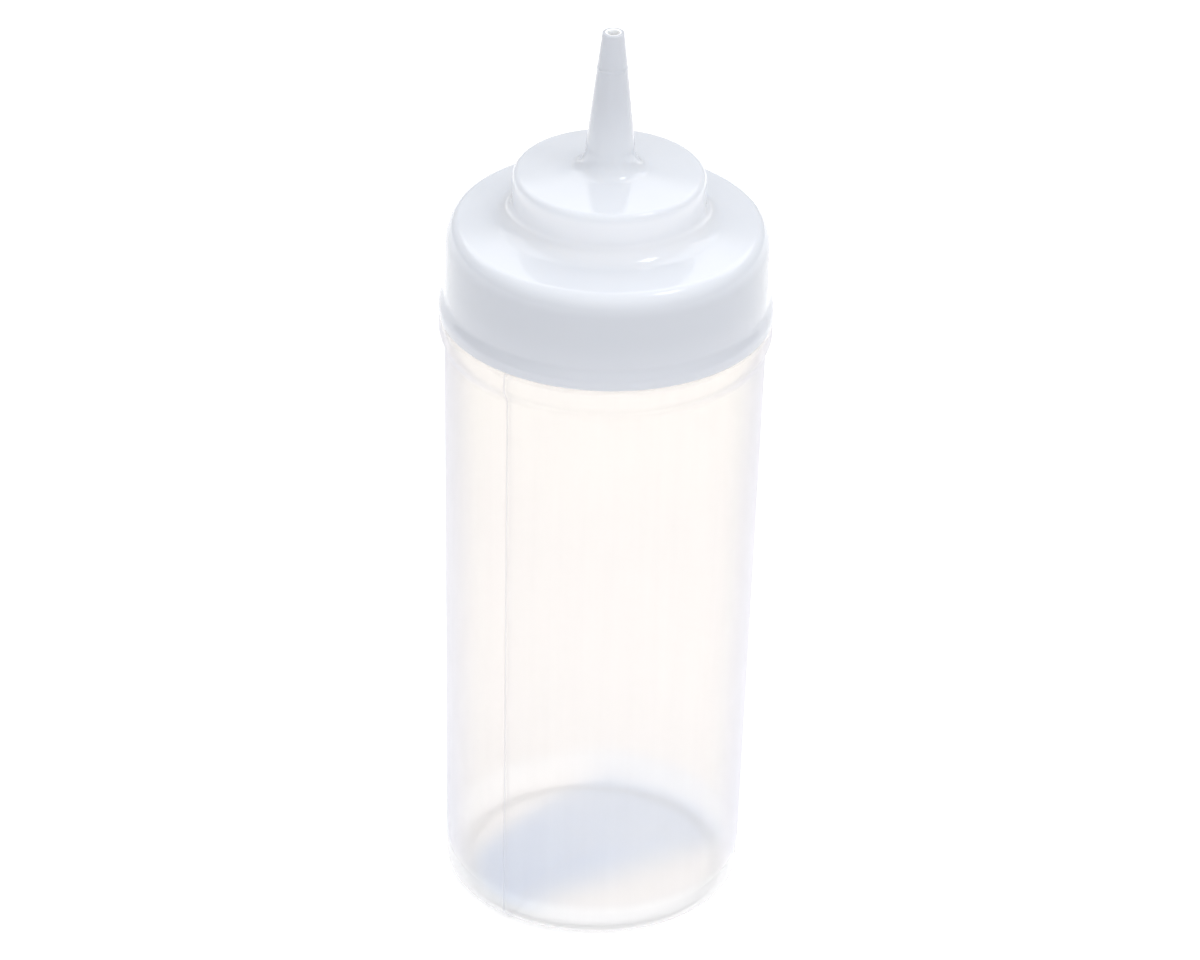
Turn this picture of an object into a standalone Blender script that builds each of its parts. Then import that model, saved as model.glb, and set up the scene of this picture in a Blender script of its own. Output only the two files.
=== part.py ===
"""A wide-mouth squeeze bottle for sauces, with a one-piece cone-tip screw cap.

The bottle stands on z = 0 with its axis on +Z. The cap is shown screwed down. Turning it
counter-clockwise, seen from above, raises it by THREAD_PITCH for each turn.
"""

import math

import bmesh
import bpy

MM = 0.001

# Bottle: radii and heights above the surface it stands on.
WALL = 1.2 * MM
BASE_WALL = 1.5 * MM
BODY_BOTTOM_RADIUS = 32.4 * MM
BODY_TOP_RADIUS = 34.5 * MM
BODY_TOP = 134.4 * MM
HEEL_RADIUS = 3.0 * MM
STANDING_RING_INNER = 26.6 * MM
PUSH_UP_RADIUS = 24.8 * MM
PUSH_UP_EDGE = 1.4 * MM
PUSH_UP_MIDDLE = 3.0 * MM
COLLAR_RADIUS = 35.8 * MM
COLLAR_BLEND = 2.4 * MM
COLLAR_TOP = 139.6 * MM
COLLAR_CORNER = 0.9 * MM
NECK_RADIUS = 30.1 * MM
NECK_WALL = 1.5 * MM
LIP_TOP = 158.1 * MM
LIP_CORNER = 0.5 * MM

# Weld across the hollow of the base, where the two mould halves pinch the tube shut.
PARTING_ANGLE = math.radians(-126.0)
SEAM_LENGTH = 46.0 * MM
SEAM_BEAD = 0.65 * MM
SEAM_STEPS = 16

# Screw thread: a rounded bead, six turns to the inch, one start, right-handed.
THREAD_PITCH = 25.4 / 6 * MM
THREAD_BEAD = 1.12 * MM
THREAD_FADE = math.radians(40)
THREAD_STEPS_PER_TURN = 48
NECK_THREAD_BOTTOM = 144.5 * MM
NECK_THREAD_TURNS = 2.0
CAP_THREAD_LAG = math.radians(90)
CAP_THREAD_TURNS = 1.5

# Sealing ring, between the lip of the neck and the roof of the cap.
RING_GAP = 0.3 * MM
RING_THICKNESS = 1.2 * MM
RING_INNER = 28.7 * MM
RING_OUTER = 31.2 * MM

# Cap, from its bottom edge up.
CAP_BOTTOM = 140.1 * MM
CAP_WALL = 1.8 * MM
FLARE_RADIUS = 35.9 * MM
FLARE_BOTTOM = 141.6 * MM
FLARE_TOP = 145.2 * MM
CAP_EDGE_CORNER = 0.4 * MM
LEAD_IN = 1.6 * MM
SKIRT_BOTTOM_RADIUS = 34.8 * MM
SKIRT_TOP_RADIUS = 34.65 * MM
SKIRT_INNER = 31.6 * MM
CAP_TOP = 161.7 * MM
SHOULDER_WIDTH = 3.0 * MM
SHOULDER_DEPTH = 5.5 * MM
STEP_RADIUS = 20.6 * MM
STEP_TOP = 173.6 * MM
STEP_CORNER = 1.6 * MM
STEP_FILLET = 4.5 * MM
STEP_INNER_CORNER = 3.5 * MM
TOP_SLOPE = math.radians(5.0)

# Cone tip and its hub.
HUB_RADIUS = 8.6 * MM
FUNNEL_RADIUS = 6.2 * MM
CONE_BOTTOM_RADIUS = 5.2 * MM
CONE_BOTTOM = 180.0 * MM
TIP_RADIUS = 2.35 * MM
TIP_TOP = 206.3 * MM
TIP_CORNER = 0.3 * MM
TIP_BORE = 1.3 * MM
CONE_WALL = 1.25 * MM
TRIM_RING = 198.2 * MM
TRIM_RING_HEIGHT = 1.2 * MM
TRIM_RING_PROUD = 0.1 * MM

SEGMENTS = 60
MERGE = 0.00001


def clear_scene():
    for obj in list(bpy.data.objects):
        bpy.data.objects.remove(obj, do_unlink=True)


def new_collection(name):
    collection = bpy.data.collections.new(name)
    bpy.context.scene.collection.children.link(collection)
    return collection


def plastic(name, colour, roughness, alpha=1.0):
    """A plain moulded plastic."""
    material = bpy.data.materials.new(name)
    material.use_nodes = True
    shader = material.node_tree.nodes["Principled BSDF"]
    shader.inputs["Base Color"].default_value = (*colour, 1.0)
    shader.inputs["Roughness"].default_value = roughness
    shader.inputs["Metallic"].default_value = 0.0
    shader.inputs["Alpha"].default_value = alpha
    return material


def arc(centre_radius, centre_height, size, start, end, steps=3):
    """Points of a circular arc in the profile plane, from one angle in degrees to another."""
    points = []
    for step in range(steps + 1):
        angle = math.radians(start + (end - start) * step / steps)
        radius = centre_radius + size * math.cos(angle)
        points.append((radius, centre_height + size * math.sin(angle)))
    return points


def s_curve(start, end, steps=4):
    """Points that leave start and reach end both running straight up or down."""
    points = []
    for step in range(steps + 1):
        share = step / steps
        sideways = (1 - math.cos(math.pi * share)) / 2
        radius = start[0] + (end[0] - start[0]) * sideways
        points.append((radius, start[1] + (end[1] - start[1]) * share))
    return points


def flare_curve(start, end, steps=5):
    """Points that leave start along the axis and bend steadily outwards to end."""
    points = []
    for step in range(steps + 1):
        share = step / steps
        radius = start[0] + (end[0] - start[0]) * share**1.8
        points.append((radius, start[1] + (end[1] - start[1]) * share))
    return points


def quarter_curve(start, end, upright_first, steps):
    """A quarter of an ellipse that runs upright at one end and level at the other."""
    points = []
    for step in range(steps + 1):
        angle = math.pi / 2 * step / steps
        bend, run = 1 - math.cos(angle), math.sin(angle)
        outwards, along = (bend, run) if upright_first else (run, bend)
        radius = start[0] + (end[0] - start[0]) * outwards
        points.append((radius, start[1] + (end[1] - start[1]) * along))
    return points


def turned(name, profile, closed, collection):
    """A solid turned about Z from (radius, height) points, which run down its outer side."""
    mesh = bpy.data.meshes.new(name)
    edges = [(i, i + 1) for i in range(len(profile) - 1)]
    if closed:
        edges.append((len(profile) - 1, 0))
    mesh.from_pydata([(radius, 0.0, height) for radius, height in profile], edges, [])
    obj = bpy.data.objects.new(name, mesh)
    collection.objects.link(obj)
    screw = obj.modifiers.new("turn", "SCREW")
    screw.axis = "Z"
    screw.steps = SEGMENTS
    screw.render_steps = SEGMENTS
    screw.use_merge_vertices = True
    screw.merge_threshold = MERGE
    screw.use_smooth_shade = True
    return obj


def add_boolean(obj, other, operation):
    boolean = obj.modifiers.new(operation.lower(), "BOOLEAN")
    boolean.operation = operation
    boolean.object = other
    boolean.solver = "EXACT"


def hide_helper(obj):
    obj.hide_render = True
    obj.display_type = "WIRE"


def curve_as_mesh(curve_obj, collection):
    """A mesh object with the shape of a bevelled curve, its end caps welded on."""
    bpy.context.view_layer.update()
    graph = bpy.context.evaluated_depsgraph_get()
    mesh = bpy.data.meshes.new_from_object(curve_obj.evaluated_get(graph))
    welded = bmesh.new()
    welded.from_mesh(mesh)
    bmesh.ops.remove_doubles(welded, verts=welded.verts, dist=MERGE)
    bmesh.ops.recalc_face_normals(welded, faces=welded.faces)
    welded.to_mesh(mesh)
    welded.free()
    obj = bpy.data.objects.new(curve_obj.name + "_solid", mesh)
    obj.matrix_world = curve_obj.matrix_world
    collection.objects.link(obj)
    bpy.data.objects.remove(curve_obj, do_unlink=True)
    return obj


def bead(name, size, points, helpers):
    """A rounded bead along points of (x, y, z, share of its full size)."""
    curve = bpy.data.curves.new(name, "CURVE")
    curve.dimensions = "3D"
    curve.bevel_depth = size
    curve.bevel_resolution = 2
    curve.use_fill_caps = True
    spline = curve.splines.new("POLY")
    spline.points.add(len(points) - 1)
    for spline_point, (x, y, z, share) in zip(spline.points, points):
        spline_point.co = (x, y, z, 1.0)
        spline_point.radius = share
    obj = bpy.data.objects.new(name, curve)
    helpers.objects.link(obj)
    solid = curve_as_mesh(obj, helpers)
    hide_helper(solid)
    return solid


def thread_bead(name, wall_radius, outwards, height, first_angle, turns, helpers):
    """A helical bead on a wall of the given radius, sinking into it at both ends.

    height is that of the helix at angle 0, and outwards is 1 on a neck and -1 in a cap.
    """
    points = []
    for step in range(round(turns * THREAD_STEPS_PER_TURN) + 1):
        turned_by = 2 * math.pi * step / THREAD_STEPS_PER_TURN
        left = 2 * math.pi * turns - turned_by
        full = min(1.0, turned_by / THREAD_FADE, left / THREAD_FADE)
        swell = 0.25 + 0.75 * math.sin(full * math.pi / 2)
        angle = first_angle + turned_by
        radius = wall_radius - outwards * THREAD_BEAD * 0.4 * (1 - swell)
        x = radius * math.cos(angle)
        y = radius * math.sin(angle)
        points.append((x, y, height + THREAD_PITCH * angle / (2 * math.pi), swell))
    return bead(name, THREAD_BEAD, points, helpers)


def push_up(radius):
    """Height of the hollow under the base, a shallow dome, at a distance from the axis."""
    fall = (radius / PUSH_UP_RADIUS) ** 2
    return PUSH_UP_MIDDLE + (PUSH_UP_EDGE - PUSH_UP_MIDDLE) * fall


def pinch_seam(helpers):
    """The low bead of the weld, across the hollow of the base."""
    points = []
    for step in range(SEAM_STEPS + 1):
        along = SEAM_LENGTH * (step / SEAM_STEPS - 0.5)
        x = along * math.cos(PARTING_ANGLE)
        y = along * math.sin(PARTING_ANGLE)
        swell = 0.4 if step in (0, SEAM_STEPS) else 1.0
        points.append((x, y, push_up(abs(along)), swell))
    return bead("pinch_seam", SEAM_BEAD, points, helpers)


def base_hollow():
    """The underside of the base, from its middle out to the ring that it stands on."""
    shares = (0.0, 0.4, 0.7, 1.0)
    points = [(share * PUSH_UP_RADIUS, push_up(share * PUSH_UP_RADIUS)) for share in shares]
    points.append((STANDING_RING_INNER, 0.0))
    return points


def bottle_inside():
    """The inner wall, from the middle of the base up to the lip."""
    bottom = BODY_BOTTOM_RADIUS - WALL
    top = BODY_TOP_RADIUS - WALL
    heel = HEEL_RADIUS - 1.0 * MM
    mouth = NECK_RADIUS - NECK_WALL
    roof = COLLAR_TOP - WALL
    points = [(radius, height + BASE_WALL) for radius, height in base_hollow()]
    points += arc(bottom - heel, BASE_WALL + heel, heel, -90, 0)
    collar_edge = (COLLAR_RADIUS - WALL, BODY_TOP + 2.0 * MM)
    points += s_curve((top, BODY_TOP - COLLAR_BLEND), collar_edge)
    points += arc(COLLAR_RADIUS - WALL - 1.8 * MM, roof - 1.8 * MM, 1.8 * MM, 0, 90, 3)
    points += arc(mouth + 0.8 * MM, roof + 0.8 * MM, 0.8 * MM, -90, -180, 3)
    points += arc(mouth + LIP_CORNER, LIP_TOP - LIP_CORNER, LIP_CORNER, 180, 90, 2)
    return points


def bottle_outside():
    """The outer wall, from the lip down to the middle of the base."""
    points = arc(NECK_RADIUS - LIP_CORNER, LIP_TOP - LIP_CORNER, LIP_CORNER, 90, 0, 2)
    points += arc(NECK_RADIUS + 0.5 * MM, COLLAR_TOP + 0.5 * MM, 0.5 * MM, 180, 270, 2)
    corner = COLLAR_RADIUS - COLLAR_CORNER
    points += arc(corner, COLLAR_TOP - COLLAR_CORNER, COLLAR_CORNER, 90, 0)
    body_edge = (BODY_TOP_RADIUS, BODY_TOP - COLLAR_BLEND)
    points += s_curve((COLLAR_RADIUS, BODY_TOP + 2.0 * MM), body_edge)
    heel = BODY_BOTTOM_RADIUS - HEEL_RADIUS
    points += arc(heel, HEEL_RADIUS, HEEL_RADIUS, 0, -90, 4)
    points += reversed(base_hollow())
    return points


def build_bottle(parts, helpers):
    obj = turned("bottle", bottle_inside() + bottle_outside(), False, parts)
    thread = thread_bead(
        "neck_thread", NECK_RADIUS, 1, NECK_THREAD_BOTTOM, 0.0, NECK_THREAD_TURNS, helpers
    )
    add_boolean(obj, thread, "UNION")
    add_boolean(obj, pinch_seam(helpers), "UNION")
    obj.data.materials.append(plastic("natural_ldpe", (0.95, 0.94, 0.95), 0.35, 0.45))
    return obj


def build_sealing_ring(parts):
    bottom = LIP_TOP + RING_GAP
    top = bottom + RING_THICKNESS
    corner = 0.25 * MM
    profile = [(RING_INNER, bottom), (RING_INNER, top), (RING_OUTER - corner, top)]
    profile += [(RING_OUTER, top - corner), (RING_OUTER, bottom)]
    obj = turned("sealing_ring", profile, True, parts)
    obj.data.materials.append(plastic("soft_foam_liner", (0.86, 0.88, 0.90), 0.6))
    return obj


def crown(outer, inner):
    """How far a top that slopes up towards the axis rises between two radii."""
    return (outer - inner) * math.tan(TOP_SLOPE)


def cone_outside(foot):
    """The tip, the trim ring and the hub, down to its foot on the top of the step."""
    slope = (CONE_BOTTOM_RADIUS - TIP_RADIUS) / (TIP_TOP - CONE_BOTTOM)
    points = arc(TIP_RADIUS - TIP_CORNER, TIP_TOP - TIP_CORNER, TIP_CORNER, 90, 0, 2)
    for share in (0.5, 0.2, -0.2, -0.5):
        height = TRIM_RING + share * TRIM_RING_HEIGHT
        proud = TRIM_RING_PROUD if abs(share) < 0.5 else 0.0
        points.append((TIP_RADIUS + slope * (TIP_TOP - height) + proud, height))
    points += quarter_curve((CONE_BOTTOM_RADIUS, CONE_BOTTOM), (HUB_RADIUS, foot), True, 7)
    return points


def cap_outside():
    """From the tip down to the outside of the bottom edge."""
    edge = STEP_RADIUS - STEP_CORNER
    points = cone_outside(STEP_TOP + crown(edge, HUB_RADIUS))
    points += arc(edge, STEP_TOP - STEP_CORNER, STEP_CORNER, 85, 0)
    edge = SKIRT_TOP_RADIUS - SHOULDER_WIDTH
    fillet = STEP_RADIUS + STEP_FILLET
    foot = CAP_TOP + crown(edge, fillet)
    points += arc(fillet, foot + STEP_FILLET, STEP_FILLET, 180, 265, 4)
    shoulder_foot = (SKIRT_TOP_RADIUS, CAP_TOP - SHOULDER_DEPTH)
    points += quarter_curve((edge, CAP_TOP), shoulder_foot, False, 5)
    points += s_curve((SKIRT_BOTTOM_RADIUS, FLARE_TOP), (FLARE_RADIUS, FLARE_BOTTOM))
    corner = FLARE_RADIUS - CAP_EDGE_CORNER
    points += arc(corner, CAP_BOTTOM + CAP_EDGE_CORNER, CAP_EDGE_CORNER, 0, -90, 2)
    return points


def cap_inside():
    """From the inside of the bottom edge up to the bore at the tip."""
    roof = CAP_TOP - CAP_WALL
    ceiling = STEP_TOP - CAP_WALL
    step = STEP_RADIUS - CAP_WALL
    points = [(SKIRT_INNER + LEAD_IN, CAP_BOTTOM)]
    points.append((SKIRT_INNER, CAP_BOTTOM + 1.5 * LEAD_IN))
    points += arc(SKIRT_INNER - 0.3 * MM, roof - 0.3 * MM, 0.3 * MM, 0, 90, 2)
    corner = STEP_INNER_CORNER
    points += arc(step + corner, roof + corner, corner, -90, -180, 4)
    edge = step - 0.8 * MM
    points += arc(edge, ceiling - 0.8 * MM, 0.8 * MM, 0, 85, 3)
    funnel_foot = (FUNNEL_RADIUS, ceiling + crown(edge, FUNNEL_RADIUS))
    bore_bottom = CONE_BOTTOM_RADIUS - CONE_WALL
    points += reversed(flare_curve((bore_bottom, CONE_BOTTOM), funnel_foot, 4))
    points.append((TIP_BORE, TIP_TOP))
    return points


def build_cap(parts, helpers):
    obj = turned("cone_tip_cap", cap_outside() + cap_inside(), True, parts)
    height = NECK_THREAD_BOTTOM - THREAD_PITCH / 2
    thread = thread_bead(
        "cap_thread", SKIRT_INNER, -1, height, CAP_THREAD_LAG, CAP_THREAD_TURNS, helpers
    )
    add_boolean(obj, thread, "UNION")
    obj.data.materials.append(plastic("white_ldpe", (0.88, 0.90, 0.93), 0.22))
    return obj


def main():
    clear_scene()
    parts = new_collection("squeeze_bottle")
    helpers = new_collection("helpers")
    build_bottle(parts, helpers)
    build_sealing_ring(parts)
    build_cap(parts, helpers)


main()
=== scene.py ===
"""The looks of a wide-mouth squeeze bottle: fine mould detail, finishes, light and camera.

The bottle, the cap and the sealing ring are turned again here at a fine resolution, with the
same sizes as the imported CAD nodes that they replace. Lengths are in metres.
"""

import math

import bmesh
import bpy
from mathutils import Matrix, Vector


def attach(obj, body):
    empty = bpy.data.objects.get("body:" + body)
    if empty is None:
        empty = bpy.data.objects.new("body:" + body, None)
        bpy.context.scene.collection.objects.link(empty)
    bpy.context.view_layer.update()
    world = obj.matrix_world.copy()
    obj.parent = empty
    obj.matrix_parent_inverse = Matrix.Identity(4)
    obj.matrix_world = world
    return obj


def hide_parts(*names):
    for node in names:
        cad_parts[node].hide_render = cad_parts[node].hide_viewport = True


MM = 0.001

# Bottle.
WALL = 1.2 * MM
BASE_WALL = 1.5 * MM
BODY_BOTTOM_RADIUS = 32.4 * MM
BODY_TOP_RADIUS = 34.5 * MM
BODY_TOP = 134.4 * MM
HEEL_RADIUS = 3.0 * MM
STANDING_RING_INNER = 26.6 * MM
PUSH_UP_RADIUS = 24.8 * MM
PUSH_UP_EDGE = 1.4 * MM
PUSH_UP_MIDDLE = 3.0 * MM
COLLAR_RADIUS = 35.8 * MM
COLLAR_BLEND = 2.4 * MM
COLLAR_TOP = 139.6 * MM
COLLAR_CORNER = 0.9 * MM
NECK_RADIUS = 30.1 * MM
NECK_WALL = 1.5 * MM
LIP_TOP = 158.1 * MM
LIP_CORNER = 0.5 * MM

# Marks of the two mould halves: a fine ridge up both sides and a weld across the base.
PARTING_ANGLE = math.radians(-126.0)
PARTING_RIDGE = 0.10 * MM
PARTING_RIDGE_WIDTH = 0.22 * MM
SEAM_REACH = 23.0 * MM
SEAM_FADE = 1.0 * MM
SEAM_BEAD = 0.65 * MM
SEAM_HALF_WIDTH = 0.9 * MM

# Screw thread, as in the CAD: one start, right-handed.
THREAD_PITCH = 25.4 / 6 * MM
THREAD_HEIGHT = 1.12 * MM
THREAD_HALF_WIDTH = 1.25 * MM
THREAD_FLANK = 0.95 * MM
THREAD_FADE = math.radians(40)
NECK_THREAD_BOTTOM = 144.5 * MM
NECK_THREAD_TURNS = 2.0
CAP_THREAD_LAG = math.radians(90)
CAP_THREAD_TURNS = 1.5

# Sealing ring.
RING_GAP = 0.3 * MM
RING_THICKNESS = 1.2 * MM
RING_INNER = 28.7 * MM
RING_OUTER = 31.2 * MM
RING_CORNER = 0.25 * MM

# Cap.
CAP_BOTTOM = 140.1 * MM
CAP_WALL = 1.8 * MM
FLARE_RADIUS = 35.9 * MM
FLARE_BOTTOM = 141.6 * MM
FLARE_TOP = 145.2 * MM
CAP_EDGE_CORNER = 0.4 * MM
LEAD_IN = 1.6 * MM
SKIRT_BOTTOM_RADIUS = 34.8 * MM
SKIRT_TOP_RADIUS = 34.65 * MM
SKIRT_INNER = 31.6 * MM
CAP_TOP = 161.7 * MM
SHOULDER_WIDTH = 3.0 * MM
SHOULDER_DEPTH = 5.5 * MM
STEP_RADIUS = 20.6 * MM
STEP_TOP = 173.6 * MM
STEP_CORNER = 1.6 * MM
STEP_FILLET = 4.5 * MM
STEP_INNER_CORNER = 3.5 * MM
TOP_SLOPE = math.radians(5.0)

# Cone tip and its hub.
HUB_RADIUS = 8.6 * MM
FUNNEL_RADIUS = 6.2 * MM
CONE_BOTTOM_RADIUS = 5.2 * MM
CONE_BOTTOM = 180.0 * MM
TIP_RADIUS = 2.35 * MM
TIP_TOP = 206.3 * MM
TIP_CORNER = 0.3 * MM
TIP_BORE = 1.3 * MM
CONE_WALL = 1.25 * MM
TRIM_RING = 198.2 * MM
TRIM_RING_HEIGHT = 1.2 * MM
TRIM_RING_PROUD = 0.1 * MM

# Mesh resolution. The parting lines get finer steps, in degrees to each side.
SEGMENTS = 216
PARTING_DETAIL = (0.0, 0.12, 0.25, 0.4, 0.6, 0.85, 1.2, 1.7, 2.3, 3.0)
PARTING_GAP = 0.4
LONGEST_SPAN = 4.0 * MM
THREAD_SPAN = 0.22 * MM
BASE_SPAN = 1.0 * MM
BASE_EDGE_STEPS = 8
SAME_RADIUS = 0.01 * MM
ON_AXIS = 1e-7

# Zones of the bottle's finish and of the light and shade painted on it. A pair is where a soft
# change begins and where it ends.
LINE_SPREAD = (0.08 * MM, 0.30 * MM)
FAR_LINE_SHARE = 0.15
LOW_DOWN = (6.0 * MM, 9.0 * MM)
BASE_RADII = (24.0 * MM, 30.0 * MM)
LOW_WALL = (4.0 * MM, 12.0 * MM)
BACK_WALL = (8.0 * MM, 22.0 * MM)
INNER_WALL_RADII = (BODY_BOTTOM_RADIUS - 0.8 * MM, BODY_BOTTOM_RADIUS - 0.4 * MM)
FAR_HALF = (4.0 * MM, 14.0 * MM)
NEAR_CAP = (95.0 * MM, 136.0 * MM)
BAND_NEAR_EDGE = (-18.0 * MM, -7.0 * MM)
BAND_FAR_EDGE = (15.0 * MM, 25.0 * MM)
BAND_FADING = (-15.0 * MM, 26.0 * MM)
BAND_LENGTH = 100.0 * MM
BAND_SLANT = 27.0 * MM
BEYOND_BAND = (12.0 * MM, 28.0 * MM)

# Colours of the bottle.
STREAK_COLOURS = ((0.902, 0.906, 0.914), (0.908, 0.912, 0.920))
# Painted light: the wall is painted lighter towards the cap, which also paints out the shade lines
# at the collar.
LIT_NEAR_CAP_COLOUR = (0.980, 0.985, 0.972)
RIM_COLOUR = (0.858, 0.866, 0.922)
# Painted shade along the parting lines; the ridge itself is real relief in the mesh.
LINE_SHADE_COLOUR = (0.70, 0.71, 0.76)
# Painted shade: a bluish band of shade across the base.
BAND_SHADE_COLOUR = (0.60, 0.73, 0.95)
# Painted light: a warm tint on the base beyond the band, for light coming through the plastic.
WARM_LIGHT_BEYOND_BAND_COLOUR = (1.0, 0.965, 0.925)
WALL_TINT = (1.0, 0.980, 0.962)
# Light through the band of painted shade is tinted bluish too.
BAND_SHADE_TINT = (0.965, 0.985, 1.0)
WHITE = (1.0, 1.0, 1.0)

# How much of the light goes straight through the bottle's plastic.
CLEAR_FACING = 0.70
CLEAR_EDGE_ON = 0.12
CLEAR_BASE = 0.93
CLEAR_BAND_SHARE = 0.60
CLEAR_LINE_SHARE = 0.6
MILKINESS = 0.5

# Zones and colours of the cap, with the light and shade painted on it.
HUB_ZONE = (STEP_TOP, CONE_BOTTOM + 14.0 * MM)
STEP_WALL_FOOT = (CAP_TOP, CAP_TOP + 3.0 * MM)
STEP_WALL_HEAD = (STEP_TOP - 2.5 * MM, STEP_TOP - 0.5 * MM)
LOW_SKIRT = (142.0 * MM, 152.0 * MM)
TIP_ZONE = (190.0 * MM, 196.0 * MM)
BORE_RADII = (1.5 * MM, 1.9 * MM)
# Painted shade: the skirt, the cone and the hub are painted darker than the tops.
SHADED_SIDES_COLOUR = (0.495, 0.513, 0.555)
# Painted light: the skirt is painted lighter towards its bottom edge, as if lit by the glowing
# bottle below.
LIT_LOW_SKIRT_COLOUR = (0.540, 0.557, 0.600)
# Painted light: the tops, which face the light, are painted lighter.
LIT_TOPS_COLOUR = (0.648, 0.671, 0.715)
# Painted light: the step wall, lit by light off the tops, is painted lighter.
LIT_STEP_WALL_COLOUR = (0.715, 0.730, 0.766)
# Painted light: the bore near the tip is painted near white, as if lit through the thin tip walls.
LIT_BORE_COLOUR = (0.96, 0.97, 0.98)

# Both plastics.
POLYETHYLENE_IOR = 1.51
NOISE_MIDDLE = (0.3, 0.7)

# Studio: a square floor, light that grows from the sides to overhead, and a panel behind.
FLOOR_HALF = 2.5
BRIGHTEST_TOWARDS = (0.10, -0.40, 0.90)
SKY_STRENGTHS = (0.56, 1.45)
SKY_COLOUR = (0.985, 0.99, 1.0, 1.0)
PANEL_LOW_EDGE = (0.47, 0.56)
PANEL_HIGH_EDGE = (0.85, 0.95)
PANEL_FRONT_EDGE = (0.10, 0.40)
LIGHT_BOUNCES_THROUGH = 32

# Camera, looking at the axis a little under the middle of the bottle.
CAMERA_DISTANCE = 1.4535
CAMERA_ELEVATION = math.radians(30.0)
CAMERA_CENTRE_HEIGHT = 105.5 * MM
CAMERA_AIM_HEIGHT = 97.8 * MM
CAMERA_ROLL = 0.0267
CAMERA_SHIFT = -0.00128
LENS_MM = 201.2
SENSOR_MM = 36.0


def arc(centre_radius, centre_height, size, start, end, steps=8):
    """Points of a circular arc in the profile plane, from one angle in degrees to another."""
    points = []
    for step in range(steps + 1):
        angle = math.radians(start + (end - start) * step / steps)
        radius = centre_radius + size * math.cos(angle)
        points.append((radius, centre_height + size * math.sin(angle)))
    return points


def s_curve(start, end, steps=14):
    """Points that leave start and reach end both running straight up or down."""
    points = []
    for step in range(steps + 1):
        share = step / steps
        sideways = (1 - math.cos(math.pi * share)) / 2
        radius = start[0] + (end[0] - start[0]) * sideways
        points.append((radius, start[1] + (end[1] - start[1]) * share))
    return points


def quarter_curve(start, end, upright_first, steps=20):
    """A quarter of an ellipse that runs upright at one end and level at the other."""
    points = []
    for step in range(steps + 1):
        angle = math.pi / 2 * step / steps
        bend, run = 1 - math.cos(angle), math.sin(angle)
        outwards, along_axis = (bend, run) if upright_first else (run, bend)
        radius = start[0] + (end[0] - start[0]) * outwards
        points.append((radius, start[1] + (end[1] - start[1]) * along_axis))
    return points


def flare_curve(start, end, steps=16):
    """Points that leave start along the axis and bend steadily outwards to end."""
    points = []
    for step in range(steps + 1):
        share = step / steps
        radius = start[0] + (end[0] - start[0]) * share**1.8
        points.append((radius, start[1] + (end[1] - start[1]) * share))
    return points


def span_limit(height):
    """How far apart neighbouring profile points may be at a height."""
    if CAP_BOTTOM < height < LIP_TOP - LIP_CORNER:
        return THREAD_SPAN
    return LONGEST_SPAN


def subdivided(profile):
    """The profile with its long straight spans split evenly."""
    points = [profile[0]]
    for start, end in zip(profile, profile[1:]):
        length = math.dist(start, end)
        limit = span_limit((start[1] + end[1]) / 2)
        pieces = max(1, math.ceil(length / limit))
        for piece in range(1, pieces + 1):
            share = piece / pieces
            radius = start[0] + (end[0] - start[0]) * share
            points.append((radius, start[1] + (end[1] - start[1]) * share))
    return points


def even_angles():
    return [2 * math.pi * step / SEGMENTS for step in range(SEGMENTS)]


def parting_angles():
    """Even steps round the axis, with finer ones at the two parting lines."""
    angles = set()
    for half_turn in (0.0, math.pi):
        middle = (PARTING_ANGLE + half_turn) % (2 * math.pi)
        for degrees in PARTING_DETAIL:
            angles.add((middle + math.radians(degrees)) % (2 * math.pi))
            angles.add((middle - math.radians(degrees)) % (2 * math.pi))
    clear = math.radians(PARTING_DETAIL[-1] + PARTING_GAP)
    for angle in even_angles():
        apart = abs(math.remainder(angle - PARTING_ANGLE, math.pi))
        if apart > clear:
            angles.add(angle)
    return sorted(angles)


def turned(name, profile, angles, closed, relief=None):
    """A smooth closed mesh turned about Z from (radius, height) points.

    relief moves a point of the profile at an angle, which forms threads and mould marks.
    """
    shape = bmesh.new()
    rings = []
    for radius, height in profile:
        if radius < ON_AXIS:
            rings.append([shape.verts.new((0.0, 0.0, height))])
            continue
        ring = []
        for angle in angles:
            near, level = relief(radius, height, angle) if relief else (radius, height)
            ring.append(shape.verts.new((near * math.cos(angle), near * math.sin(angle), level)))
        rings.append(ring)
    following = rings[1:] + rings[:1] if closed else rings[1:]
    for ring, other in zip(rings, following):
        for step in range(len(angles)):
            beside = (step + 1) % len(angles)
            corners = [ring[step % len(ring)], ring[beside % len(ring)]]
            corners += [other[beside % len(other)], other[step % len(other)]]
            shape.faces.new(list(dict.fromkeys(corners)))
    bmesh.ops.recalc_face_normals(shape, faces=shape.faces)
    for face in shape.faces:
        face.smooth = True
    mesh = bpy.data.meshes.new(name)
    shape.to_mesh(mesh)
    shape.free()
    obj = bpy.data.objects.new(name, mesh)
    bpy.context.scene.collection.objects.link(obj)
    return obj


def smoothstep(value):
    value = min(1.0, max(0.0, value))
    return value * value * (3 - 2 * value)


def thread_height(angle, height, bottom, first_angle, turns):
    """How far a thread stands out of its wall. bottom is the height of its helix at angle 0."""
    best = 0.0
    last_angle = first_angle + 2 * math.pi * turns
    angle = angle % (2 * math.pi)
    while angle <= last_angle:
        if angle >= first_angle:
            apart = abs(height - bottom - THREAD_PITCH * angle / (2 * math.pi))
            fade = min(1.0, (angle - first_angle) / THREAD_FADE, (last_angle - angle) / THREAD_FADE)
            full = THREAD_HEIGHT * math.sin(fade * math.pi / 2)
            best = max(best, full * smoothstep((THREAD_HALF_WIDTH - apart) / THREAD_FLANK))
        angle += 2 * math.pi
    return best


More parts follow.
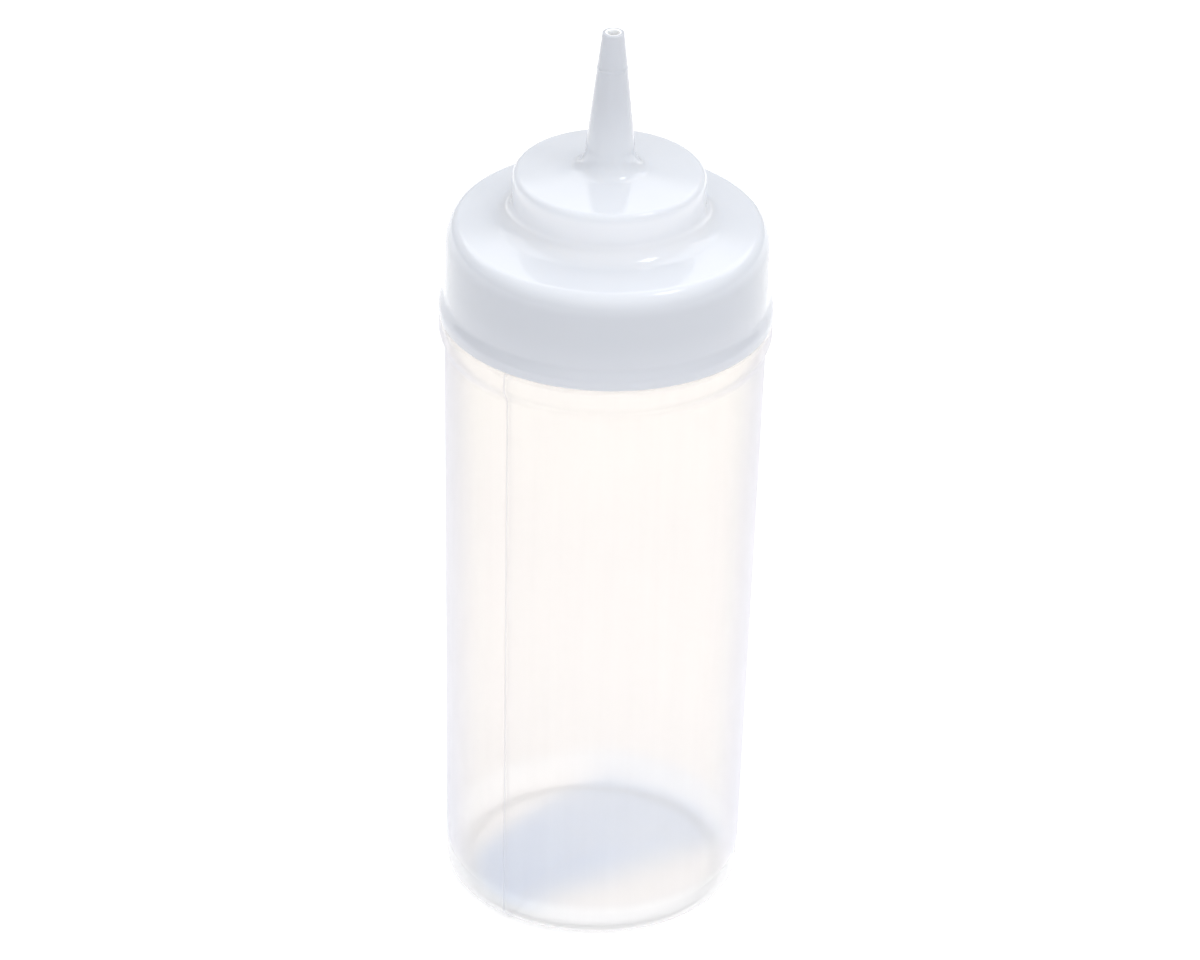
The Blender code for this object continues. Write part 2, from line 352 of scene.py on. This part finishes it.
def push_up(radius):
    """Height of the hollow under the base, a shallow dome, at a distance from the axis."""
    fall = (radius / PUSH_UP_RADIUS) ** 2
    return PUSH_UP_MIDDLE + (PUSH_UP_EDGE - PUSH_UP_MIDDLE) * fall


def base_hollow():
    """The underside of the base, from its middle out to the ring that it stands on."""
    steps = math.ceil(PUSH_UP_RADIUS / BASE_SPAN)
    radii = [PUSH_UP_RADIUS * step / steps for step in range(steps + 1)]
    points = [(radius, push_up(radius)) for radius in radii]
    for step in range(1, BASE_EDGE_STEPS + 1):
        share = step / BASE_EDGE_STEPS
        radius = PUSH_UP_RADIUS + (STANDING_RING_INNER - PUSH_UP_RADIUS) * share
        points.append((radius, PUSH_UP_EDGE * (1 - share)))
    return points


def bottle_inside():
    """The inner wall, from the middle of the base up to the lip."""
    bottom = BODY_BOTTOM_RADIUS - WALL
    top = BODY_TOP_RADIUS - WALL
    heel = HEEL_RADIUS - 1.0 * MM
    mouth = NECK_RADIUS - NECK_WALL
    roof = COLLAR_TOP - WALL
    points = [(radius, height + BASE_WALL) for radius, height in base_hollow()]
    points += arc(bottom - heel, BASE_WALL + heel, heel, -90, 0)
    collar_edge = (COLLAR_RADIUS - WALL, BODY_TOP + 2.0 * MM)
    points += s_curve((top, BODY_TOP - COLLAR_BLEND), collar_edge)
    points += arc(COLLAR_RADIUS - WALL - 1.8 * MM, roof - 1.8 * MM, 1.8 * MM, 0, 90)
    points += arc(mouth + 0.8 * MM, roof + 0.8 * MM, 0.8 * MM, -90, -180)
    points += arc(mouth + LIP_CORNER, LIP_TOP - LIP_CORNER, LIP_CORNER, 180, 90)
    return points


def bottle_outside():
    """The outer wall, from the lip down to the middle of the base."""
    points = arc(NECK_RADIUS - LIP_CORNER, LIP_TOP - LIP_CORNER, LIP_CORNER, 90, 0)
    points += arc(NECK_RADIUS + 0.5 * MM, COLLAR_TOP + 0.5 * MM, 0.5 * MM, 180, 270)
    corner = COLLAR_RADIUS - COLLAR_CORNER
    points += arc(corner, COLLAR_TOP - COLLAR_CORNER, COLLAR_CORNER, 90, 0)
    body_edge = (BODY_TOP_RADIUS, BODY_TOP - COLLAR_BLEND)
    points += s_curve((COLLAR_RADIUS, BODY_TOP + 2.0 * MM), body_edge)
    heel = BODY_BOTTOM_RADIUS - HEEL_RADIUS
    points += arc(heel, HEEL_RADIUS, HEEL_RADIUS, 0, -90, 12)
    points += reversed(base_hollow())
    return points


def bottle_relief(radius, height, angle):
    """Adds the neck's thread, the parting ridges and the weld across the base."""
    from_plane = abs(radius * math.sin(angle - PARTING_ANGLE))
    seam_end = SEAM_REACH + SEAM_FADE
    if radius <= seam_end and height < PUSH_UP_MIDDLE + 0.1 * MM:
        reach = smoothstep((seam_end - radius) / (2 * SEAM_FADE))
        side = smoothstep((SEAM_HALF_WIDTH - from_plane) / SEAM_HALF_WIDTH)
        if height < push_up(radius) + 0.1 * MM:
            return radius, height - SEAM_BEAD * reach * side
    if abs(radius - NECK_RADIUS) < SAME_RADIUS:
        radius += thread_height(angle, height, NECK_THREAD_BOTTOM, 0.0, NECK_THREAD_TURNS)
    outer_wall = BODY_BOTTOM_RADIUS + (BODY_TOP_RADIUS - BODY_BOTTOM_RADIUS) * height / BODY_TOP
    if radius > outer_wall - 0.3 * MM and height > HEEL_RADIUS / 2:
        radius += PARTING_RIDGE * math.exp(-((from_plane / PARTING_RIDGE_WIDTH) ** 2))
    return radius, height


def crown(outer, inner):
    """How far a top that slopes up towards the axis rises between two radii."""
    return (outer - inner) * math.tan(TOP_SLOPE)


def cone_outside(foot):
    """The tip, the trim ring and the hub, down to its foot on the top of the step."""
    slope = (CONE_BOTTOM_RADIUS - TIP_RADIUS) / (TIP_TOP - CONE_BOTTOM)
    points = arc(TIP_RADIUS - TIP_CORNER, TIP_TOP - TIP_CORNER, TIP_CORNER, 90, 0)
    for step in range(17):
        share = step / 16
        height = TRIM_RING + (0.5 - share) * TRIM_RING_HEIGHT
        proud = TRIM_RING_PROUD * (1 - math.cos(2 * math.pi * share)) / 2
        points.append((TIP_RADIUS + slope * (TIP_TOP - height) + proud, height))
    points += quarter_curve((CONE_BOTTOM_RADIUS, CONE_BOTTOM), (HUB_RADIUS, foot), True)
    return points


def cap_outside():
    """From the tip down to the outside of the bottom edge."""
    edge = STEP_RADIUS - STEP_CORNER
    points = cone_outside(STEP_TOP + crown(edge, HUB_RADIUS))
    points += arc(edge, STEP_TOP - STEP_CORNER, STEP_CORNER, 85, 0, 12)
    edge = SKIRT_TOP_RADIUS - SHOULDER_WIDTH
    fillet = STEP_RADIUS + STEP_FILLET
    foot = CAP_TOP + crown(edge, fillet)
    points += arc(fillet, foot + STEP_FILLET, STEP_FILLET, 180, 265, 16)
    shoulder_foot = (SKIRT_TOP_RADIUS, CAP_TOP - SHOULDER_DEPTH)
    points += quarter_curve((edge, CAP_TOP), shoulder_foot, False)
    points += s_curve((SKIRT_BOTTOM_RADIUS, FLARE_TOP), (FLARE_RADIUS, FLARE_BOTTOM))
    corner = FLARE_RADIUS - CAP_EDGE_CORNER
    points += arc(corner, CAP_BOTTOM + CAP_EDGE_CORNER, CAP_EDGE_CORNER, 0, -90)
    return points


def cap_inside():
    """From the inside of the bottom edge up to the bore at the tip."""
    roof = CAP_TOP - CAP_WALL
    ceiling = STEP_TOP - CAP_WALL
    step = STEP_RADIUS - CAP_WALL
    points = [(SKIRT_INNER + LEAD_IN, CAP_BOTTOM)]
    points.append((SKIRT_INNER, CAP_BOTTOM + 1.5 * LEAD_IN))
    points += arc(SKIRT_INNER - 0.3 * MM, roof - 0.3 * MM, 0.3 * MM, 0, 90)
    corner = STEP_INNER_CORNER
    points += arc(step + corner, roof + corner, corner, -90, -180)
    edge = step - 0.8 * MM
    points += arc(edge, ceiling - 0.8 * MM, 0.8 * MM, 0, 85)
    funnel_foot = (FUNNEL_RADIUS, ceiling + crown(edge, FUNNEL_RADIUS))
    bore_bottom = CONE_BOTTOM_RADIUS - CONE_WALL
    points += reversed(flare_curve((bore_bottom, CONE_BOTTOM), funnel_foot))
    points += arc(TIP_BORE + 0.2 * MM, TIP_TOP - 0.2 * MM, 0.2 * MM, 180, 90)
    return points


def cap_relief(radius, height, angle):
    """Adds the thread inside the skirt."""
    if abs(radius - SKIRT_INNER) < SAME_RADIUS:
        bottom = NECK_THREAD_BOTTOM - THREAD_PITCH / 2
        radius -= thread_height(angle, height, bottom, CAP_THREAD_LAG, CAP_THREAD_TURNS)
    return radius, height


def ring_profile():
    """A flat washer of soft foam with rounded corners."""
    bottom = LIP_TOP + RING_GAP
    top = bottom + RING_THICKNESS
    points = arc(RING_INNER + RING_CORNER, bottom + RING_CORNER, RING_CORNER, -90, -180)
    points += arc(RING_INNER + RING_CORNER, top - RING_CORNER, RING_CORNER, 180, 90)
    points += arc(RING_OUTER - RING_CORNER, top - RING_CORNER, RING_CORNER, 90, 0)
    points += arc(RING_OUTER - RING_CORNER, bottom + RING_CORNER, RING_CORNER, 0, -90)
    return points


def new_material(name):
    """A node material and its node tree, which is still empty."""
    material = bpy.data.materials.new(name)
    material.use_nodes = True
    tree = material.node_tree
    tree.nodes.clear()
    return material, tree


def add(tree, kind, inputs=None, **settings):
    """A new node. inputs maps a socket's name or number to a value or another node's socket."""
    node = tree.nodes.new(kind)
    for name, value in settings.items():
        setattr(node, name, value)
    for key, value in (inputs or {}).items():
        if isinstance(value, bpy.types.NodeSocket):
            tree.links.new(value, node.inputs[key])
        else:
            node.inputs[key].default_value = value
    return node


def remap(tree, value, lowest, highest, at_lowest, at_highest):
    """A smooth change between two numbers as value goes from lowest to highest."""
    inputs = {0: value, 1: lowest, 2: highest, 3: at_lowest, 4: at_highest}
    return add(tree, "ShaderNodeMapRange", inputs, interpolation_type="SMOOTHSTEP").outputs[0]


def maths(tree, operation, first, second):
    return add(tree, "ShaderNodeMath", {0: first, 1: second}, operation=operation).outputs[0]


def times(tree, *factors):
    """The product of two or more values."""
    product = factors[0]
    for factor in factors[1:]:
        product = maths(tree, "MULTIPLY", product, factor)
    return product


def rising(tree, value, span):
    """A mask that goes from 0 to 1 over a span of value."""
    return remap(tree, value, *span, 0.0, 1.0)


def falling(tree, value, span):
    """A mask that goes from 1 to 0 over a span of value."""
    return remap(tree, value, *span, 1.0, 0.0)


def mixed_colour(tree, share, first, second):
    """A colour that goes from the first to the second as share goes from 0 to 1."""
    node = add(tree, "ShaderNodeMix", {0: share}, data_type="RGBA")
    for socket, colour in ((node.inputs[6], first), (node.inputs[7], second)):
        if isinstance(colour, bpy.types.NodeSocket):
            tree.links.new(colour, socket)
        else:
            socket.default_value = (*colour, 1.0)
    return node.outputs[2]


def noise(tree, place, scale, detail=3.0, roughness=0.5):
    inputs = {"Vector": place, "Scale": scale, "Detail": detail, "Roughness": roughness}
    return add(tree, "ShaderNodeTexNoise", inputs).outputs["Fac"]


def stretched(tree, place, scales):
    """Coordinates scaled along each axis, so that noise runs in streaks."""
    return add(tree, "ShaderNodeMapping", {"Vector": place, "Scale": scales}).outputs["Vector"]


def along(tree, place, direction):
    """Distance of a point along a direction, in metres."""
    inputs = {0: place, 1: direction}
    return add(tree, "ShaderNodeVectorMath", inputs, operation="DOT_PRODUCT").outputs["Value"]


def distance_from_axis(tree, place):
    inputs = {0: place, 1: (1.0, 1.0, 0.0)}
    flat = add(tree, "ShaderNodeVectorMath", inputs, operation="MULTIPLY").outputs[0]
    return add(tree, "ShaderNodeVectorMath", {0: flat}, operation="LENGTH").outputs["Value"]


def satin_bump(tree, place, grain, grain_depth, wave, wave_depth):
    """Normals of moulded plastic: a fine satin grain over long, shallow waves."""
    inputs = {"Height": noise(tree, place, 1.0 / wave, 1.0), "Distance": wave_depth}
    waves = add(tree, "ShaderNodeBump", inputs).outputs[0]
    inputs = {"Height": noise(tree, place, 1.0 / grain, 1.0), "Distance": grain_depth}
    inputs["Normal"] = waves
    return add(tree, "ShaderNodeBump", inputs).outputs[0]


def line_mask(tree, from_plane, along_plane):
    """Where the parting lines run, for the shade painted along them. The far one gets only a small
    share of it.
    """
    distance = add(tree, "ShaderNodeMath", {0: from_plane}, operation="ABSOLUTE").outputs[0]
    far_side_share = remap(tree, along_plane, 0.0, 1.0 * MM, 1.0, FAR_LINE_SHARE)
    return times(tree, falling(tree, distance, LINE_SPREAD), far_side_share)


def band_shade_mask(tree, place, from_plane, along_plane):
    """A soft, patchy band of painted bluish shade that runs slanted across the base and fades
    towards the back.
    """
    slant = remap(tree, along_plane, -BAND_LENGTH, BAND_LENGTH, -BAND_SLANT, BAND_SLANT)
    near_edge = rising(tree, maths(tree, "ADD", from_plane, slant), BAND_NEAR_EDGE)
    far_edge = falling(tree, from_plane, BAND_FAR_EDGE)
    fading = remap(tree, along_plane, *BAND_FADING, 1.0, 0.70)
    patchiness = remap(tree, noise(tree, place, 55.0, 2.0), *NOISE_MIDDLE, 0.85, 1.0)
    return times(tree, near_edge, far_edge, fading, patchiness)


def bottle_masks(tree, place):
    """The zones of the bottle, each a mask from 0 to 1, and its fine upright streaks."""
    height = along(tree, place, (0.0, 0.0, 1.0))
    radius = distance_from_axis(tree, place)
    across = (math.sin(PARTING_ANGLE), -math.cos(PARTING_ANGLE), 0.0)
    backwards = (-math.cos(PARTING_ANGLE), -math.sin(PARTING_ANGLE), 0.0)
    from_plane = along(tree, place, across)
    along_plane = along(tree, place, backwards)
    low_down = falling(tree, height, LOW_DOWN)
    inside = falling(tree, radius, INNER_WALL_RADII)
    on_floor = times(tree, low_down, falling(tree, radius, BASE_RADII))
    # The painted tones of the base reach a little way up the inside of the back wall.
    back_wall = times(tree, rising(tree, along_plane, BACK_WALL), inside)
    back_wall = times(tree, falling(tree, height, LOW_WALL), back_wall)
    return {
        "line": line_mask(tree, from_plane, along_plane),
        "low_down": low_down,
        "inside": inside,
        "base": maths(tree, "MAXIMUM", on_floor, back_wall),
        "band": band_shade_mask(tree, place, from_plane, along_plane),
        "beyond_band": rising(tree, from_plane, BEYOND_BAND),
        "near_cap": rising(tree, height, NEAR_CAP),
        "streaks": noise(tree, stretched(tree, place, (1.0, 1.0, 0.04)), 260.0, 3.0),
    }


def bottle_colour(tree, masks, edge):
    """Milky white, bluish where the wall is seen edge-on; with painted light and shade: lighter
    towards the cap, a darker line along the parting ridge, a bluish band of shade and a warm tint
    across the base.
    """
    wall = mixed_colour(tree, masks["streaks"], *STREAK_COLOURS)
    # Painted light: lighter towards the cap.
    wall = mixed_colour(tree, masks["near_cap"], wall, LIT_NEAR_CAP_COLOUR)
    rim = remap(tree, edge, 0.45, 0.90, 0.0, 1.0)
    wall = mixed_colour(tree, rim, wall, RIM_COLOUR)
    # Painted light: warm tint on the base beyond the band.
    base = mixed_colour(tree, masks["beyond_band"], WHITE, WARM_LIGHT_BEYOND_BAND_COLOUR)
    # Painted shade: the bluish band across the base.
    base = mixed_colour(tree, masks["band"], base, BAND_SHADE_COLOUR)
    # Painted light: the base and the bottom of the wall are painted white, lighter than the wall,
    # against the shade under the bottle.
    colour = mixed_colour(tree, masks["low_down"], wall, WHITE)
    colour = mixed_colour(tree, masks["base"], colour, base)
    # Painted shade along the parting lines.
    return mixed_colour(tree, masks["line"], colour, LINE_SHADE_COLOUR)


def bottle_clearness(tree, place, masks, edge, band_shade_on_base):
    """The share of the surface that light passes through, least where it is seen edge-on."""
    clear = remap(tree, edge, 0.40, 0.98, CLEAR_FACING, CLEAR_EDGE_ON)
    clear = times(tree, clear, remap(tree, masks["streaks"], 0.2, 0.8, 0.99, 1.01))
    low = remap(tree, masks["low_down"], 0.0, 1.0, 0.0, CLEAR_FACING)
    clear = maths(tree, "MAXIMUM", clear, low)
    far_half = remap(tree, along(tree, place, (0.0, 1.0, 0.0)), *FAR_HALF, 0.0, CLEAR_BASE)
    far_half = times(tree, far_half, masks["inside"])
    clear = maths(tree, "MAXIMUM", clear, times(tree, masks["low_down"], far_half))
    in_base = remap(tree, masks["base"], 0.0, 1.0, 0.0, CLEAR_BASE)
    clear = maths(tree, "MAXIMUM", clear, in_base)
    clear = times(tree, clear, remap(tree, band_shade_on_base, 0.0, 1.0, 1.0, CLEAR_BAND_SHARE))
    return times(tree, clear, remap(tree, masks["line"], 0.0, 1.0, 1.0, CLEAR_LINE_SHARE))


def bottle_plastic():
    """Natural low-density polyethylene: milky, see-through where it is thin."""
    material, tree = new_material("natural_ldpe")
    place = add(tree, "ShaderNodeTexCoord").outputs["Object"]
    edge = add(tree, "ShaderNodeLayerWeight", {"Blend": 0.5}).outputs["Facing"]
    masks = bottle_masks(tree, place)
    # Where the painted band of shade lies on the base.
    band_shade_on_base = times(tree, masks["base"], masks["band"])
    colour = bottle_colour(tree, masks, edge)
    clear = bottle_clearness(tree, place, masks, edge, band_shade_on_base)
    normal = satin_bump(tree, place, 1.2 * MM, 0.006 * MM, 20.0 * MM, 0.05 * MM)
    satin = remap(tree, noise(tree, place, 900.0), *NOISE_MIDDLE, 0.30, 0.42)
    inputs = {"Base Color": colour, "Roughness": satin, "IOR": POLYETHYLENE_IOR}
    inputs["Normal"] = normal
    surface = add(tree, "ShaderNodeBsdfPrincipled", inputs).outputs[0]
    inputs = {"Color": colour, "Normal": normal}
    inner_light = add(tree, "ShaderNodeBsdfTranslucent", inputs).outputs[0]
    inputs = {0: MILKINESS, 1: surface, 2: inner_light}
    milky = add(tree, "ShaderNodeMixShader", inputs).outputs[0]
    tint = mixed_colour(tree, masks["low_down"], WALL_TINT, WHITE)
    tint = mixed_colour(tree, band_shade_on_base, tint, BAND_SHADE_TINT)
    through = add(tree, "ShaderNodeBsdfTransparent", {"Color": tint}).outputs[0]
    shader = add(tree, "ShaderNodeMixShader", {0: clear, 1: milky, 2: through})
    add(tree, "ShaderNodeOutputMaterial", {"Surface": shader.outputs[0]})
    return material


def cap_colour(tree, place):
    """White with painted shade on the skirt and cone and painted light on the tops, the step wall,
    the foot of the skirt and in the bore.
    """
    height = along(tree, place, (0.0, 0.0, 1.0))
    # Painted light on the tops, painted shade on the skirt, cone and hub.
    lit_tops = rising(tree, height, (CAP_TOP - SHOULDER_DEPTH, CAP_TOP))
    lit_tops = times(tree, lit_tops, falling(tree, height, HUB_ZONE))
    patchiness = remap(tree, noise(tree, place, 60.0, 3.0), *NOISE_MIDDLE, 0.92, 1.0)
    lit_tops = times(tree, lit_tops, patchiness)
    colour = mixed_colour(tree, lit_tops, SHADED_SIDES_COLOUR, LIT_TOPS_COLOUR)
    # Painted light: lighter towards the bottom of the skirt.
    colour = mixed_colour(tree, falling(tree, height, LOW_SKIRT), colour, LIT_LOW_SKIRT_COLOUR)
    # Painted light on the step wall.
    lit_step_wall = times(
        tree, rising(tree, height, STEP_WALL_FOOT), falling(tree, height, STEP_WALL_HEAD)
    )
    colour = mixed_colour(tree, lit_step_wall, colour, LIT_STEP_WALL_COLOUR)
    # Painted light inside the bore at the tip.
    near_axis = falling(tree, distance_from_axis(tree, place), BORE_RADII)
    lit_bore = times(tree, rising(tree, height, TIP_ZONE), near_axis)
    return mixed_colour(tree, lit_bore, colour, LIT_BORE_COLOUR)


def cap_plastic():
    """White low-density polyethylene, semi-gloss, with light bleeding a little way in."""
    material, tree = new_material("white_ldpe")
    place = add(tree, "ShaderNodeTexCoord").outputs["Object"]
    inputs = {"Base Color": cap_colour(tree, place), "IOR": POLYETHYLENE_IOR}
    inputs["Roughness"] = remap(tree, noise(tree, place, 700.0), *NOISE_MIDDLE, 0.06, 0.09)
    inputs["Normal"] = satin_bump(tree, place, 1.5 * MM, 0.003 * MM, 16.0 * MM, 0.08 * MM)
    inputs["Coat Weight"] = 0.4
    inputs["Coat Roughness"] = 0.03
    inputs["Subsurface Weight"] = 0.25
    inputs["Subsurface Radius"] = (1.0, 0.9, 0.8)
    inputs["Subsurface Scale"] = 2.0 * MM
    surface = add(tree, "ShaderNodeBsdfPrincipled", inputs)
    add(tree, "ShaderNodeOutputMaterial", {"Surface": surface.outputs[0]})
    return material


def ring_foam():
    """Soft closed-cell foam: small round cells that catch the light."""
    material, tree = new_material("soft_foam_liner")
    place = add(tree, "ShaderNodeTexCoord").outputs["Object"]
    inputs = {"Vector": place, "Scale": 2600.0}
    cells = add(tree, "ShaderNodeTexVoronoi", inputs).outputs["Distance"]
    colour = mixed_colour(tree, cells, (0.80, 0.82, 0.84), (0.90, 0.92, 0.94))
    inputs = {"Height": cells, "Strength": 0.6, "Distance": 0.08 * MM}
    normal = add(tree, "ShaderNodeBump", inputs).outputs[0]
    inputs = {"Base Color": colour, "Roughness": 0.7, "Normal": normal}
    surface = add(tree, "ShaderNodeBsdfPrincipled", inputs)
    add(tree, "ShaderNodeOutputMaterial", {"Surface": surface.outputs[0]})
    return material


def floor_material():
    """Matt paper, a touch uneven."""
    material, tree = new_material("pale_floor")
    place = add(tree, "ShaderNodeTexCoord").outputs["Object"]
    grain = noise(tree, place, 40.0, 3.0)
    colour = mixed_colour(tree, grain, (0.955, 0.955, 0.955), (0.965, 0.965, 0.965))
    surface = add(tree, "ShaderNodeBsdfPrincipled", {"Base Color": colour, "Roughness": 0.9})
    surface.inputs["Specular IOR Level"].default_value = 0.0
    add(tree, "ShaderNodeOutputMaterial", {"Surface": surface.outputs[0]})
    return material


def finish_piece(piece, node, body, material):
    piece.data.materials.append(material)
    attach(piece, body)
    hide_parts(node)


def build_object():
    profile = subdivided(bottle_inside() + bottle_outside())
    bottle = turned("bottle_shell", profile, parting_angles(), False, bottle_relief)
    finish_piece(bottle, "bottle", "bottle_body", bottle_plastic())
    profile = subdivided(cap_outside() + cap_inside())
    cap = turned("cone_cap_shell", profile, even_angles(), True, cap_relief)
    finish_piece(cap, "cone_tip_cap", "cap_body", cap_plastic())
    ring = turned("foam_ring", ring_profile(), even_angles(), True)
    finish_piece(ring, "sealing_ring", "ring_body", ring_foam())


def build_floor():
    mesh = bpy.data.meshes.new("studio_floor")
    half = FLOOR_HALF
    corners = [(-half, -half, 0.0), (half, -half, 0.0), (half, half, 0.0), (-half, half, 0.0)]
    mesh.from_pydata(corners, [], [(0, 1, 2, 3)])
    floor = bpy.data.objects.new("studio_floor", mesh)
    mesh.materials.append(floor_material())
    bpy.context.scene.collection.objects.link(floor)


def build_world():
    """Soft white light from all round, brightest overhead and a little to the front.

    A brighter panel stands high up behind the bottle.
    """
    world = bpy.data.worlds.new("studio")
    world.use_nodes = True
    tree = world.node_tree
    tree.nodes.clear()
    direction = add(tree, "ShaderNodeTexCoord").outputs["Generated"]
    towards = along(tree, direction, BRIGHTEST_TOWARDS)
    strength = remap(tree, towards, 0.0, 1.0, *SKY_STRENGTHS)
    up = along(tree, direction, (0.0, 0.0, 1.0))
    at_height = times(tree, rising(tree, up, PANEL_LOW_EDGE), falling(tree, up, PANEL_HIGH_EDGE))
    behind = rising(tree, along(tree, direction, (0.0, 1.0, 0.0)), PANEL_FRONT_EDGE)
    strength = maths(tree, "ADD", strength, times(tree, at_height, behind))
    light = add(tree, "ShaderNodeBackground", {"Color": SKY_COLOUR, "Strength": strength})
    add(tree, "ShaderNodeOutputWorld", {"Surface": light.outputs[0]})
    bpy.context.scene.world = world


def area_light(name, azimuth, elevation, distance, size, power):
    """A square lamp that faces the bottle. Azimuth 0 is in front, towards the camera."""
    target = Vector((0.0, 0.0, 0.1))
    flat = math.cos(math.radians(elevation))
    towards = Vector((
        flat * math.sin(math.radians(azimuth)),
        -flat * math.cos(math.radians(azimuth)),
        math.sin(math.radians(elevation)),
    ))
    lamp = bpy.data.lights.new(name, "AREA")
    lamp.size = size
    lamp.energy = power
    obj = bpy.data.objects.new(name, lamp)
    obj.location = target + distance * towards
    obj.rotation_euler = (-towards).to_track_quat("-Z", "Y").to_euler()
    bpy.context.scene.collection.objects.link(obj)


def build_camera():
    flat = CAMERA_DISTANCE * math.cos(CAMERA_ELEVATION)
    rise = CAMERA_DISTANCE * math.sin(CAMERA_ELEVATION)
    place = Vector((0.0, -flat, CAMERA_CENTRE_HEIGHT + rise))
    view = Vector((0.0, 0.0, CAMERA_AIM_HEIGHT)) - place
    camera = bpy.data.objects.new("camera", bpy.data.cameras.new("camera"))
    camera.data.lens = LENS_MM
    camera.data.sensor_width = SENSOR_MM
    camera.data.shift_x = CAMERA_SHIFT
    turn = view.to_track_quat("-Z", "Y").to_matrix() @ Matrix.Rotation(CAMERA_ROLL, 3, "Z")
    camera.matrix_world = Matrix.Translation(place) @ turn.to_4x4()
    bpy.context.scene.collection.objects.link(camera)
    bpy.context.scene.camera = camera


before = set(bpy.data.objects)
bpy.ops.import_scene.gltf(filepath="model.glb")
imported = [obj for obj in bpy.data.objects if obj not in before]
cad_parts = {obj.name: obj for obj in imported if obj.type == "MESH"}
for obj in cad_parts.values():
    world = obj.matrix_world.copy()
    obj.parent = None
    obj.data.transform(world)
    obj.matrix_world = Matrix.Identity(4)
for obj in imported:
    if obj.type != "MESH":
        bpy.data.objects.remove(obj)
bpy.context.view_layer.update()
build_camera()
build_object()
build_floor()
build_world()
area_light("key", azimuth=65.0, elevation=60.0, distance=1.1, size=0.24, power=0.75)
bpy.context.scene.view_settings.view_transform = "Standard"
bpy.context.scene.cycles.transparent_max_bounces = LIGHT_BOUNCES_THROUGH
